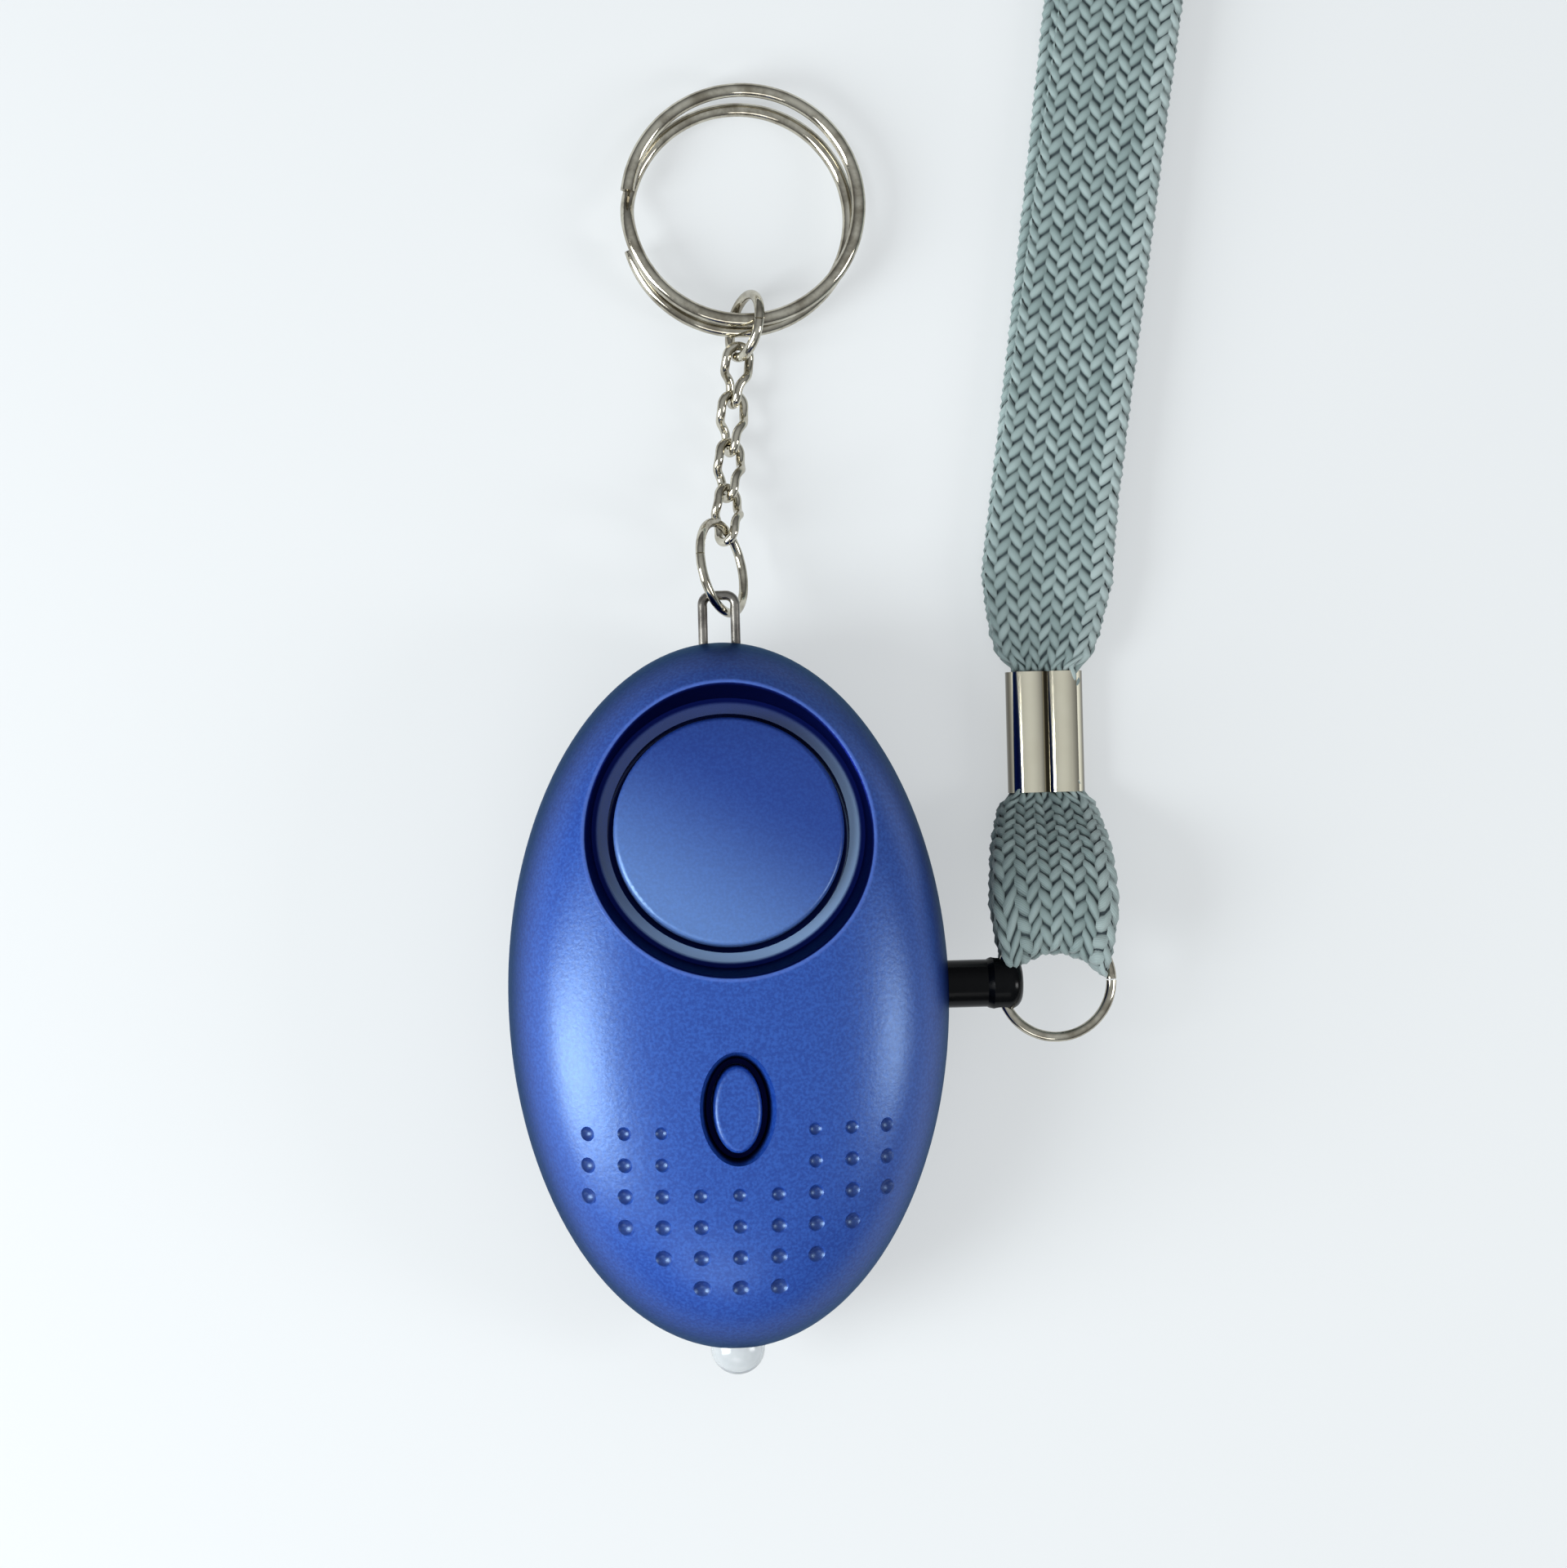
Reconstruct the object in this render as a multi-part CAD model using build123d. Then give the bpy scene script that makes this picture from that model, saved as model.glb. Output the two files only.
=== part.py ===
from build123d import *
from math import atan2, cos, degrees, radians, sin, sqrt, tan
import os

# Personal safety alarm, in millimetres. X is across the oval body, Y along it towards the key ring
# and Z up through the front. The origin is the middle of the flat on its back, where it rests.

# Case
body_length = 65.0
body_width = 40.6
back_depth = 9.5  # from the rest flat up to the parting plane
front_depth = 13.5  # from the parting plane up to the crown of the front
back_crown_cut = 0.6  # what the rest flat takes off the crown of the back
wall = 1.6
front_fullness_share = 0.70  # 0.55 is a true ellipse, 1 a box
back_fullness_share = 0.72
dome_seam_angle = 45.0  # keeps the seam of the surface away from the features on the middle lines
lip_height = 1.0  # tongue of the back shell inside the front shell
lip_gap = 0.06
groove_reach = 0.4  # how far inside the wall the groove for the tongue is cut
overrun = 0.5  # how far a cut runs past the face it opens
fit_gap = 0.05  # between pieces that are assembled by hand

# Speaker recess, cap and piezo disc
speaker_place_share = 0.4646  # of half the body's length, from its middle
speaker_tilt = 10.5  # degrees, leaning towards the key ring end
speaker_floor_z = 17.9  # middle of the recess floor
ledge_width = 1.4  # from the sound gap out to the foot of the recess wall
recess_draft = 25.0  # degrees between the recess wall and its axis
recess_height = 9.0
recess_rim_fillet = 0.35
ledge_slope = 0.25  # how far the glossy ledge falls towards the sound gap
cap_radius = 10.4
cap_gap = 0.55
cap_stand = 1.15  # rim of the cap above the recess floor
cap_crown = 0.55
cap_skirt = 0.7  # skirt of the cap below the recess floor
cap_edge_fillet = 0.45
cap_plate = 1.1
cap_leg_count = 3
cap_leg_radius = 0.9
sill_depth = 2.3  # from the recess floor down to the sill that the cap stands on
sill_width = 2.3
sill_thickness = 1.0
piezo_reach = 1.15  # of the disc beyond the foot of the recess wall
piezo_plate_thickness = 0.3
ceramic_inset = 3.5
ceramic_thickness = 0.25
chamber_depth = 0.7  # air space between the sill and the piezo plate
piezo_ledge = 1.1
tub_wall = 0.5

# Light button, its switch and the circuit board
button_place_share = 0.2954  # of half the body's length, from its middle
button_width = 4.4
button_length = 7.8
pocket_width = 6.9
pocket_length = 10.3
pocket_depth = 2.7
pocket_band_foot = 0.45  # flat left round the button at the pocket floor
pocket_floor_thickness = 1.2
pocket_collar = 1.2
button_below_face = 0.7
button_edge_fillet = 0.5
button_clearance = 0.12
button_flange = 0.8
button_flange_thickness = 0.7
switch_gap = 0.05
switch_size = 5.2
switch_plunger_radius = 1.2
switch_plunger_height = 0.6  # above the housing
switch_floor = 0.4  # under the plunger's well
board_z = 15.05
board_thickness = 1.2
board_side_margin = 9.7  # from the side of the body to the board
board_screw_reach = 2.55  # of the board past the case screw
board_margin = 5.2  # from the inner end of the shell to the board
board_hole_gap = 0.2
peg_radius = 0.7
peg_proud = 0.3  # of the board's lower face
peg_post_radius = 1.5
peg_side_margin = 13.9  # from the side of the body to the pegs
peg_button_reach = 5.6  # from the button to the pegs

# Grip dimples: rows down the front, each with its inner and outer column
dimple_pitch_x = 3.5
dimple_pitch_y = 2.86
dimple_first_reach = 1.9  # from the button to the first row
dimple_rows = ((2, 4), (2, 4), (0, 4), (0, 3), (0, 2), (0, 1))
dimple_width = 1.0
dimple_column_step = 0.09  # each column outwards is wider by this
dimple_row_step = 0.12  # each row down is wider by this
dimple_closing_share = 0.01  # each column outwards stands closer in by this share
dimple_depth_share = 0.27  # of its width
slope_step = 0.05  # apart, for reading the slope of the front

# Lamp
led_radius = 2.5
led_proud = 2.5
led_body_length = 8.7
led_flange_radius = 2.9
led_flange_length = 1.0
lead_radius = 0.25
lead_pitch = 2.54
lead_bend = 0.6

# Cells and their contacts
cell_radius = 5.8
cell_height = 5.4
cell_rim = 0.35
cell_cap_radius = 3.8
cell_count = 3
cell_lead_gap = 1.48  # from the lamp's leads to the cells
cell_z = 8.95
contact_thickness = 0.3
contact_width = 6.0
contact_tab_width = 2.0
contact_foot_z = 4.6
contact_top_z = 11.8
rib_thickness = 1.0
rib_top_z = 7.0

# Step-up coil, siren chip and small parts
coil_x = -6.6
board_parts_reach = 2.8  # from the case screw to the coil and the chip
coil_radius = 3.0
coil_height = 6.0
coil_flange = 0.8
coil_neck_radius = 1.6
coil_winding_inset = 0.2
chip_x = 6.2
chip_width = 3.9
chip_length = 4.9
chip_height = 1.5
chip_leg = 0.4
chip_leg_reach = 1.0
chip_legs_per_side = 4
small_part_height = 0.9
small_part_width = 1.2
small_part_length = 2.0
small_part_places = ((-6.4, -2.8), (6.4, -2.8), (0, -8.5), (-6.4, 4.3), (3.5, -11.3))  # from the button

# Case screw
screw_head_radius = 1.8
screw_head_height = 1.2
screw_head_sink = 1.4
screw_shank_radius = 1.0
screw_length = 15.0
screw_slot_width = 0.6
screw_slot_depth = 0.7
screw_slot_reach = 1.2
screw_hole_gap = 0.12
post_wall = 1.0
post_foot_z = 3.4
post_top_z = 12.6

# Pull plug and its socket
plug_y = 0.4
plug_radius = 2.2
plug_head_radius = 2.5
plug_stem_reach = 3.6  # of the stem out of the side of the body
plug_head_flare = 0.55
plug_reach = 6.9  # of the whole grip out of the side of the body
plug_head_fillet = 1.3
plug_inside = 2.4  # of the grip inside the body
plug_hole_reach = 4.9
plug_bore_gap = 0.1
pin_radius = 1.25
pin_nose_fillet = 0.75
pin_length = 12.2
pin_bond = 3.5  # of the pin inside the grip
pin_gap = 0.06
socket_length = 8.8
socket_plug_gap = 0.5
socket_width = 7.0
socket_height = 6.6
socket_chamfer = 0.8
socket_rest_width = 3.5
leaf_thickness = 0.3
leaf_width = 1.5
leaf_foot_z = 7.3

# Wire staple that carries the chain
staple_radius = 0.44
staple_width = 3.0  # between the middles of the legs
staple_proud = 4.35  # middle of the crossbar, from the end of the body
staple_foot = 1.6
staple_inset = 2.6  # middle of the feet, from the end of the body
staple_bend = 0.85
staple_boss_width = 9.4
staple_boss_depth = 2.6
staple_boss_height = 2.4

# Chain: jump ring, curb links, ring link and split ring
chain_gap = 0.16
joint_slit = 0.12
jump_radius = 4.3
jump_wire = 0.43
jump_yaw = 10.5
jump_pitch = -34.5
jump_roll = 55.5
jump_slit_turn = 200.0
curb_count = 4
curb_length = 6.4
curb_width = 3.1
curb_wire = 0.425
curb_twist = 45.0
curb_headings = ((4.5, -22.0, -8.0), (5.0, -14.0, -17.0), (5.0, 0.0, -24.0), (8.0, 8.0, -29.0))
ring_link_radius = 3.0
ring_link_wire = 0.475
ring_link_yaw = 16.0
ring_link_pitch = 9.0
ring_link_roll = -67.0
ring_link_slit_turn = 20.0
split_radius = 10.9
split_wire = 0.65
split_gap = 0.42
split_tuck = 0.4  # how much smaller the lower turn is
split_shift = 1.1  # how far the lower turn hangs towards the chain
split_cut = 172.0  # degrees round to the end of the upper turn
split_kink_start = 162.0
split_kink_end = 195.0
split_hang = (-0.7, -2.45, -0.45)  # from the ring link's far side to the near side of the split ring
split_pitch = -2.95
split_points = 240

# Strap ring, crimp and wrist strap
strap_ring_radius = 5.18
strap_ring_wire = 0.475
crimp_reach = 10.6  # from the side of the body to the middle of the crimp
crimp_start_y = 17.9
crimp_length = 11.4
crimp_width = 7.3
crimp_height = 4.2
crimp_wall = 0.4
strap_thickness = 1.6
strap_width = 11.2
corner_share = 0.45  # of the shorter run at a corner, how much its arc takes up
layer_split_z = 1.8  # between the loop's two layers
trim_height = 12.0
fold_gap = 0.12  # between the ring wire and the strap that goes round it
fold_half_angle = 52.0
fold_flat_y = 8.6
fold_width = 11.5
fold_root_width = 7.8
fold_root_flat = 1.2
low_layer_z = 1.15
high_layer_z = 3.05

# Route of the wrist loop's middle line, from the crimp out to the far fold and back to the crimp;
# X is from the middle of the crimp
loop_route = (
    (0.1, 29.3, 1.15), (0.2, 34.5, 0.95), (0.9, 42.0, 0.84), (2.5, 54.0, 0.9), (4.7, 70.0, 0.82),
    (7.7, 93.0, 0.9), (10.8, 115.0, 0.82), (13.5, 130.0, 0.9), (15.1, 138.5, 0.84), (16.3, 145.0, 0.95),
    (17.2, 151.5, 0.9), (17.8, 155.4, 1.6), (18.0, 156.8, 3.3), (17.7, 155.2, 4.9), (17.2, 151.3, 5.2),
    (16.3, 145.0, 4.4), (15.4, 138.0, 3.0), (14.1, 127.0, 2.72), (11.4, 107.0, 2.8), (8.2, 88.0, 2.7),
    (5.4, 70.0, 2.8), (2.9, 54.0, 2.7), (1.1, 43.0, 2.78), (0.3, 35.5, 2.8), (0.1, 29.3, 3.05),
)
loop_far_index = 12
loop_widths = ((29.3, 7.6), (32.5, 9.6), (38.0, 11.8), (46.0, 11.4), (56.0, 11.2), (160.0, 11.2))

half_width = body_width / 2
half_length = body_length / 2
part_z = back_depth
crown_z = part_z + front_depth
speaker_y = speaker_place_share * half_length
recess_radius = cap_radius + cap_gap + ledge_width
piezo_radius = recess_radius + piezo_reach
ceramic_radius = piezo_radius - ceramic_inset
button_y = -button_place_share * half_length
button_near_y = button_y + button_length / 2 + button_flange
screw_y = (speaker_y - piezo_radius + button_near_y) / 2
coil_y = screw_y - board_parts_reach
chip_y = coil_y
peg_x = half_width - peg_side_margin
plug_nose_x = half_width - plug_inside
plug_head_start_x = half_width + plug_stem_reach
plug_hole_x = half_width + plug_hole_reach
plug_tip_x = half_width + plug_reach
pin_root_x = plug_nose_x + pin_bond
pin_tip_x = pin_root_x - pin_length
socket_end_x = plug_nose_x - socket_plug_gap
socket_start_x = socket_end_x - socket_length
crimp_x = half_width + crimp_reach
raised = (Align.CENTER, Align.CENTER, Align.MIN)


def span(middle, width):
    """The two ends of a width about its middle."""
    return (middle - width / 2, middle + width / 2)


def block(x, y, z):
    """A box between two values on each axis."""
    size = (x[1] - x[0], y[1] - y[0], z[1] - z[0])
    return Pos((x[0] + x[1]) / 2, (y[0] + y[1]) / 2, (z[0] + z[1]) / 2) * Box(*size)


def upright(radius, low, high, x=0, y=0):
    """A post or hole about a line parallel to Z."""
    return Pos(x, y, low) * Cylinder(radius, high - low, align=raised)


def across_x(radius, start, end, y, z):
    """A bar or hole about a line parallel to X."""
    return Pos(start, y, z) * Rot(0, 90, 0) * Cylinder(radius, end - start, align=raised)


def wire_along(path, radius):
    return sweep(Plane(origin=path @ 0, z_dir=path % 0) * Circle(radius), path=path)


def ring(mean_radius, wire_radius, slit):
    """A round wire ring about Z, with a butt slit on its +X side."""
    slit_angle = degrees(slit / mean_radius)
    section = Plane.XZ * Pos(mean_radius, 0) * Circle(wire_radius)
    return Rot(0, 0, slit_angle / 2) * revolve(section, Axis.Z, 360 - slit_angle)


def dome(inset, depth, fullness_share):
    """Half an egg on the parting plane: a quarter profile turned round Z and stretched along Y."""
    across = half_width - inset
    along = half_length - inset
    deep = depth - inset
    pull = across * fullness_share
    crown = Bezier((0, 0, deep), (pull, 0, deep), (across, 0, deep * fullness_share), (across, 0, 0))
    base = Polyline((across, 0, 0), (0, 0, 0), (0, 0, deep))
    turned = revolve(Rot(0, 0, dome_seam_angle) * make_face(crown + base), Axis.Z)
    return Pos(0, 0, part_z) * scale(turned, by=(1, along / across, 1))


def front_dome(inset=0):
    return dome(inset, front_depth, front_fullness_share)


def back_dome(inset=0):
    """The lower half, cut level: at the surface it stands on, or at the inside of its floor."""
    lower = dome(inset, back_depth + back_crown_cut, back_fullness_share)
    lower = Pos(0, 0, 2 * part_z) * mirror(lower, Plane.XY)
    return lower & block(span(0, body_width), span(0, body_length), (inset, part_z + overrun))


def front_height(x, y):
    """Height of the outer face of the front over a point, from its quarter profile."""
    away = sqrt((x / half_width) ** 2 + (y / half_length) ** 2)
    low = 0.0
    high = 1.0
    for _ in range(40):
        t = (low + high) / 2
        reach = 3 * front_fullness_share * t * (1 - t) ** 2 + 3 * t ** 2 * (1 - t) + t ** 3
        if reach < away:
            low = t
        else:
            high = t
    rise = (1 - t) ** 3 + 3 * t * (1 - t) ** 2 + 3 * front_fullness_share * t ** 2 * (1 - t)
    return part_z + front_depth * rise


# Speaker: everything here is about its own tilted axis, with zero at the middle of the recess floor
speaker = Pos(0, speaker_y, speaker_floor_z) * Rot(-speaker_tilt, 0, 0)
gap_radius = cap_radius + cap_gap
sill_inner = gap_radius - sill_width
sill_top = -sill_depth
sill_bottom = sill_top - sill_thickness
piezo_top = sill_bottom - chamber_depth
plate_bottom = piezo_top - piezo_plate_thickness
ceramic_bottom = plate_bottom - ceramic_thickness
chamber_radius = piezo_radius - piezo_ledge
tub_radius = piezo_radius + tub_wall


def speaker_cut():
    """The flared recess, its sloping ledge, the throat for the cap and the air chamber under the sill."""
    flare = recess_height * tan(radians(recess_draft))
    profile = Polyline(
        (0, recess_height), (recess_radius + flare, recess_height), (recess_radius, 0),
        (gap_radius, -ledge_slope), (gap_radius, sill_top), (sill_inner, sill_top),
        (sill_inner, sill_bottom), (chamber_radius, sill_bottom),
        (chamber_radius, piezo_top - overrun), (0, piezo_top - overrun), close=True,
    )
    return speaker * revolve(Plane.XZ * make_face(profile), Axis.Z)


def cap():
    """A slightly crowned disc with a rounded edge, a skirt, and legs that stand on the sill."""
    rim = (cap_radius, cap_stand)
    top = ThreePointArc((-cap_radius, cap_stand), (0, cap_stand + cap_crown), rim)
    skirt = ((cap_radius, -cap_skirt), (-cap_radius, -cap_skirt))
    whole = make_face(top + Polyline(rim, *skirt, (-cap_radius, cap_stand)))
    whole = fillet(whole.vertices().sort_by_distance((*rim, 0))[0], cap_edge_fillet)
    half = whole & (Pos(cap_radius, 0) * Rectangle(2 * cap_radius, 4 * cap_radius))
    disc = revolve(Plane.XZ * half, Axis.Z)
    hollow_top = cap_stand - cap_plate
    disc -= upright(cap_radius - cap_plate, -cap_skirt - overrun, hollow_top)
    leg_circle = cap_radius - cap_leg_radius
    for leg in range(cap_leg_count):
        turn = Rot(0, 0, 90 + 360 / cap_leg_count * leg)
        disc += turn * upright(cap_leg_radius, sill_top, hollow_top + fit_gap, x=leg_circle - fit_gap)
    return speaker * disc


def piezo_plate():
    return speaker * upright(piezo_radius, plate_bottom, piezo_top)


def piezo_ceramic():
    return speaker * upright(ceramic_radius, ceramic_bottom, plate_bottom)


# Button pocket, from the local face of the front over the button
pocket_face_z = front_height(0, button_y)
pocket_floor_z = pocket_face_z - pocket_depth
pocket_under_z = pocket_floor_z - pocket_floor_thickness


def oval(width, length, z):
    return Pos(0, button_y, z) * Ellipse(width / 2, length / 2)


def pocket_cut():
    """The oval pocket with its steep tapered wall, and the hole that guides the button."""
    foot = 2 * (pocket_band_foot + button_clearance)
    rise = pocket_depth + overrun
    flare = overrun / pocket_depth
    grow_x = (pocket_width - button_width - foot) * flare
    grow_y = (pocket_length - button_length - foot) * flare
    pocket = loft([
        oval(button_width + foot, button_length + foot, pocket_floor_z),
        oval(pocket_width + grow_x, pocket_length + grow_y, pocket_floor_z + rise),
    ])
    clear = 2 * button_clearance
    guide = oval(button_width + clear, button_length + clear, pocket_under_z - overrun)
    return pocket + extrude(guide, pocket_floor_thickness + 2 * overrun)


def dimples():
    """Spherical grip dimples in rows, square to the surface, wider towards the outside and the far end.

    Each ball's seam and poles are turned downhill, out of the surface that it dents.
    """
    cuts = []
    for row, (inner, outer) in enumerate(dimple_rows):
        y = button_y - dimple_first_reach - row * dimple_pitch_y
        for column in range(inner, outer + 1):
            width = dimple_width + dimple_column_step * column + dimple_row_step * row
            depth = dimple_depth_share * width
            ball = (width ** 2 / 4 + depth ** 2) / (2 * depth)
            for side in (-1, 1) if column else (1,):
                x = side * column * dimple_pitch_x * (1 - column * dimple_closing_share)
                z = front_height(x, y)
                slope_x = (front_height(x + slope_step, y) - z) / slope_step
                slope_y = (front_height(x, y + slope_step) - z) / slope_step
                outward = Vector(-slope_x, -slope_y, 1).normalized()
                place = Pos(*(Vector(x, y, z) + (ball - depth) * outward))
                downhill = degrees(atan2(-slope_y, -slope_x))
                cuts.append(place * Rot(0, 0, downhill) * Rot(90, 0, 0) * Sphere(ball))
    return cuts


staple_reach = half_length + staple_proud
staple_foot_y = half_length - staple_inset


def staple(radius):
    """A closed-topped wire U: feet inside the case, legs out through the end, and the crossbar."""
    x = staple_width / 2
    feet = x + staple_foot
    path = FilletPolyline(
        (-feet, staple_foot_y, part_z), (-x, staple_foot_y, part_z), (-x, staple_reach, part_z),
        (x, staple_reach, part_z), (x, staple_foot_y, part_z), (feet, staple_foot_y, part_z),
        radius=staple_bend,
    )
    return wire_along(path, radius)


led_tip_y = -half_length - led_proud
led_back_y = led_tip_y + led_body_length
lead_turn_y = led_back_y + lead_pitch / 2
cell_y = lead_turn_y + lead_radius + cell_lead_gap + cell_radius
peg_y = button_y - peg_button_reach
board_end_y = screw_y + board_screw_reach


def led_shape(grow=0):
    """The lamp's round lens, its cylinder and its flange, along -Y."""
    lay = Pos(0, led_back_y, part_z) * Rot(90, 0, 0)
    radius = led_radius + grow
    body = lay * Cylinder(radius, led_body_length - led_radius, align=raised)
    nose = Pos(0, led_tip_y + led_radius, part_z) * Sphere(radius)
    flange = lay * Cylinder(led_flange_radius + grow, led_flange_length + grow, align=raised)
    return body + nose + flange


def rim_oval(inset):
    """The outline of the parting line, moved inwards."""
    return Ellipse(half_width - inset, half_length - inset)


def shell_openings():
    """What passes through the parting line: the plug's hole, the lamp and the staple."""
    side_hole = across_x(plug_radius + plug_bore_gap, plug_nose_x - overrun, half_width + overrun, plug_y, part_z)
    return [side_hole, led_shape(fit_gap), staple(staple_radius + fit_gap)]


def staple_boss(low, high):
    return block(span(0, staple_boss_width), span(staple_foot_y, staple_boss_depth), (low, high))


def front_shell():
    """A dimpled dome, less the hollow left round its tubs, bosses and pegs, less its openings."""
    collar = 2 * pocket_collar
    solid = [
        speaker * upright(tub_radius, piezo_top, recess_height),
        extrude(oval(pocket_width + collar, pocket_length + collar, pocket_under_z), front_depth),
        staple_boss(part_z - overrun, part_z + staple_boss_height),
        upright(screw_shank_radius + post_wall, post_top_z, crown_z, y=screw_y),
    ]
    board_top = board_z + board_thickness
    for x in (-peg_x, peg_x):
        solid.append(upright(peg_post_radius, board_top, crown_z, x, peg_y))
        solid.append(upright(peg_radius, board_z - peg_proud, board_top + overrun, x, peg_y))
    groove = rim_oval(wall / 2 - lip_gap) - rim_oval(wall + groove_reach)
    hollow = front_dome(wall) - solid
    hollow += Pos(0, 0, part_z - lip_gap) * extrude(groove, lip_height + 2 * lip_gap)
    screw_top = screw_head_sink + screw_length + overrun
    screw_hole = upright(screw_shank_radius, post_top_z - overrun, screw_top, y=screw_y)
    shell = front_dome() - dimples() - hollow
    shell = shell - [speaker_cut(), pocket_cut(), screw_hole, *shell_openings()]
    flare = shell.faces().filter_by(GeomType.CONE).sort_by(Axis.Z)[-1]
    return fillet(flare.edges().filter_by(GeomType.BSPLINE), recess_rim_fillet)


def lip():
    """The tongue round the inside of the parting line, left out at the staple boss."""
    tongue = Pos(0, 0, part_z) * extrude(rim_oval(wall / 2) - rim_oval(wall), lip_height)
    height = (part_z - overrun, part_z + lip_height + overrun)
    return tongue - block(span(0, staple_boss_width + 2 * fit_gap), (0, half_length), height)


def cell_bay(radius):
    half = cell_count * cell_height / 2
    return across_x(radius, -half - overrun, half + overrun, cell_y, cell_z)


def back_shell():
    """The lower shell with its lip, screw post, socket rest, lamp saddle and the ribs that hold the cells."""
    rib_y = span(cell_y, 2 * cell_radius)
    rest_x = (socket_start_x + wall, socket_end_x - wall)
    saddle_y = (-half_length + wall, led_back_y - led_flange_length)
    solid = [
        staple_boss(part_z - staple_boss_height, part_z + overrun),
        upright(screw_head_radius + post_wall, 0, post_foot_z, y=screw_y),
        block(rest_x, span(plug_y, socket_rest_width), (0, part_z - socket_height / 2)),
        block(span(0, 2 * led_radius), saddle_y, (0, part_z + overrun)),
    ]
    for x in (-cell_height / 2, cell_height / 2):
        rib = block(span(x, rib_thickness), rib_y, (0, rib_top_z))
        solid.append(rib - cell_bay(cell_radius + fit_gap))
    shell = back_dome() - (back_dome(wall) - solid)
    post_radius = screw_shank_radius + screw_hole_gap + post_wall
    shell += [lip(), upright(post_radius, wall, post_top_z, y=screw_y)]
    seat = upright(screw_head_radius + screw_hole_gap, -overrun, screw_head_sink, y=screw_y)
    hole = upright(screw_shank_radius + screw_hole_gap, -overrun, post_top_z + overrun, y=screw_y)
    return shell - [seat, hole, *shell_openings()]


def case_screw():
    """A round-headed screw whose head bears on the seat in the back, with a cross recess."""
    head_z = screw_head_sink - screw_head_height
    screw = upright(screw_head_radius, head_z, screw_head_sink, y=screw_y)
    screw += upright(screw_shank_radius, head_z, screw_head_sink + screw_length, y=screw_y)
    depth = (head_z - overrun, head_z + screw_slot_depth)
    long = 2 * screw_slot_reach
    for x, y in ((long, screw_slot_width), (screw_slot_width, long)):
        screw -= block(span(0, x), span(screw_y, y), depth)
    return screw


button_bottom_z = pocket_under_z - fit_gap - button_flange_thickness
plunger_top_z = button_bottom_z - switch_gap
switch_bottom_z = board_z + board_thickness
switch_top_z = plunger_top_z - switch_plunger_height
well_z = switch_bottom_z + switch_floor


def light_button():
    """The oval key with a rounded top edge and the flange that holds it in."""
    top_z = pocket_face_z - button_below_face
    key = extrude(oval(button_width, button_length, button_bottom_z), top_z - button_bottom_z)
    key = fillet(key.edges().sort_by(Axis.Z)[-1], button_edge_fillet)
    rim = 2 * button_flange
    flange = oval(button_width + rim, button_length + rim, button_bottom_z)
    return key + extrude(flange, button_flange_thickness)


def switch_body():
    """A square switch housing with the well that its plunger slides in."""
    side = span(0, switch_size)
    body = block(side, span(button_y, switch_size), (switch_bottom_z, switch_top_z))
    return body - upright(switch_plunger_radius + fit_gap, well_z, switch_top_z + overrun, y=button_y)


def switch_plunger():
    return upright(switch_plunger_radius, (well_z + switch_top_z) / 2, plunger_top_z, y=button_y)


def circuit_board():
    """A half oval board with holes for the screw post and the two pegs."""
    along = half_length - board_margin
    half = Pos(0, board_end_y - along) * Rectangle(body_width, 2 * along)
    outline = Ellipse(half_width - board_side_margin, along) & half
    board = Pos(0, 0, board_z) * extrude(outline, board_thickness)
    low = board_z - overrun
    high = board_z + board_thickness + overrun
    board -= upright(screw_shank_radius + post_wall + board_hole_gap, low, high, y=screw_y)
    for x in (-peg_x, peg_x):
        board -= upright(peg_radius + fit_gap, low, high, x, peg_y)
    return board


def cell(index):
    """A button cell: the can with its rolled rim and the smaller raised cap, stacked along X."""
    start = (index - cell_count / 2) * cell_height
    can = across_x(cell_radius, start + fit_gap / 2, start + cell_height - cell_rim, cell_y, cell_z)
    return can + across_x(cell_cap_radius, start, start + cell_height - fit_gap / 2, cell_y, cell_z)


def cell_contact(side):
    """A sprung strip against the end of the stack, with a tab up to the board."""
    face = side * cell_count * cell_height / 2
    x = sorted((face, face + side * contact_thickness))
    strip = block(x, span(cell_y, contact_width), (contact_foot_z, contact_top_z))
    return strip + block(x, span(cell_y, contact_tab_width), (cell_z, board_z))


def coil_core():
    """The ferrite drum: two flanges and a neck, hung from the board."""
    low = board_z - coil_height
    core = upright(coil_radius, low, low + coil_flange, coil_x, coil_y)
    core += upright(coil_radius, board_z - coil_flange, board_z, coil_x, coil_y)
    return core + upright(coil_neck_radius, low, board_z, coil_x, coil_y)


def coil_winding():
    low = board_z - coil_height + coil_flange
    outer = upright(coil_radius - coil_winding_inset, low, board_z - coil_flange, coil_x, coil_y)
    return outer - upright(coil_neck_radius, low - overrun, board_z, coil_x, coil_y)


def siren_chip():
    """A small moulded chip with a row of bent legs on each long side."""
    low = board_z + board_thickness
    foot = (low, low + chip_leg / 2)
    knee = (low + chip_leg / 2, low + chip_height / 2)
    body = block(span(chip_x, chip_width), span(chip_y, chip_length), (foot[1], low + chip_height))
    pitch = chip_length / chip_legs_per_side
    for side in (-1, 1):
        root = chip_x + side * chip_width / 2
        for leg in range(chip_legs_per_side):
            y = span(chip_y + (leg - (chip_legs_per_side - 1) / 2) * pitch, chip_leg)
            body += block(sorted((root, root + side * chip_leg_reach / 2)), y, knee)
            body += block(sorted((root, root + side * chip_leg_reach)), y, foot)
    return body


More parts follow.
